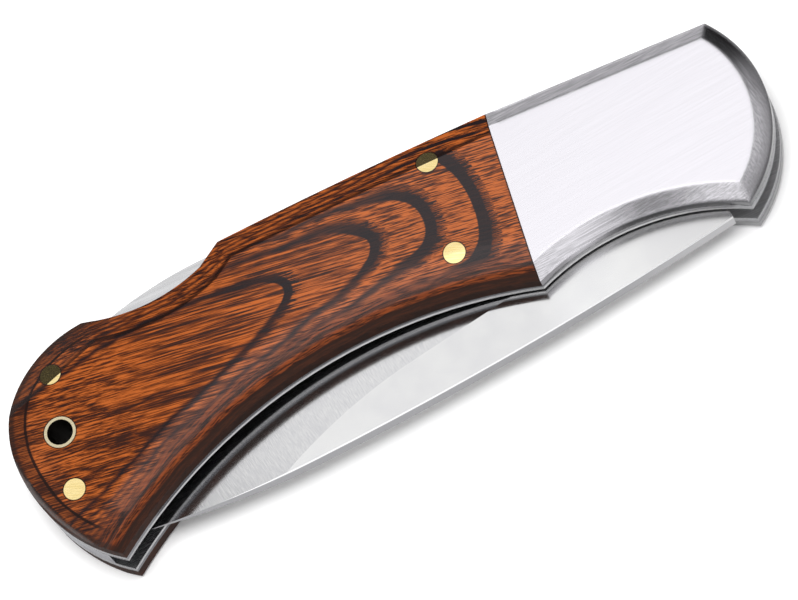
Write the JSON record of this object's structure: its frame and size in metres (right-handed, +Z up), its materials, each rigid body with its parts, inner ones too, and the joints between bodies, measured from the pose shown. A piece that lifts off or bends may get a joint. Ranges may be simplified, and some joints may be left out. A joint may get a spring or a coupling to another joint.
{
  "type": "folding pocket knife",
  "caption": "Closed lockback folding knife with a ground steel blade, bevelled steel bolsters, laminated wood scales, brass pins, a thumb notch over the lock bar and a lanyard tube.",
  "frame": {"origin": "middle of the underside of the closed knife, lying on its lower side", "axes": "+X from the butt to the bolster end, +Y to the back of the handle, +Z up across the handle"},
  "size_m": [0.1114, 0.0362, 0.0106],
  "materials": {
    "wood": "polished laminated wood, orange-brown with dark layer lines",
    "bolster_steel": "satin face with brushed bevels",
    "liner_steel": "satin",
    "blade_steel": "satin, ground across",
    "lock_steel": "satin",
    "spring_steel": "plain",
    "pin_brass": "dressed flush",
    "tube_brass": "pale, rolled edge",
    "pin_steel": "plain",
    "washer_bronze": "plain"
  },
  "bodies": {
    "handle": {"upper_scale": "wood", "lower_scale": "wood", "upper_bolster": "bolster_steel", "lower_bolster": "bolster_steel", "upper_liner": "liner_steel", "lower_liner": "liner_steel", "butt_spacer": "lock_steel", "lock_spring": "spring_steel", "lock_bar_pin": "pin_brass", "butt_top_pin": "pin_brass", "butt_low_pin": "pin_brass", "upper_scale_rivet": "pin_brass", "lower_scale_rivet": "pin_brass", "lanyard_tube": "tube_brass", "pivot_pin": "pin_steel", "upper_bolster_rivets": "pin_steel", "lower_bolster_rivets": "pin_steel", "upper_washer": "washer_bronze", "lower_washer": "washer_bronze"},
    "blade": {"blade": "blade_steel"},
    "lock_bar": {"lock_bar": "lock_steel"}
  },
  "joints": [
    {"name": "blade_hinge", "type": "hinge", "parent": "handle", "child": "blade", "pos_m": [0.04161, 0.00347, 0.0053], "axis": [0, 0, 1], "range_deg": [0, 168.32]},
    {"name": "lock_rock", "type": "hinge", "parent": "handle", "child": "lock_bar", "pos_m": [0.01071, 0.01477, 0.0053], "axis": [0, 0, 1], "range_deg": [-2.03, 2.5], "stiffness_Nm_per_rad": 2, "deforming": ["lock_spring"]}
  ]
}
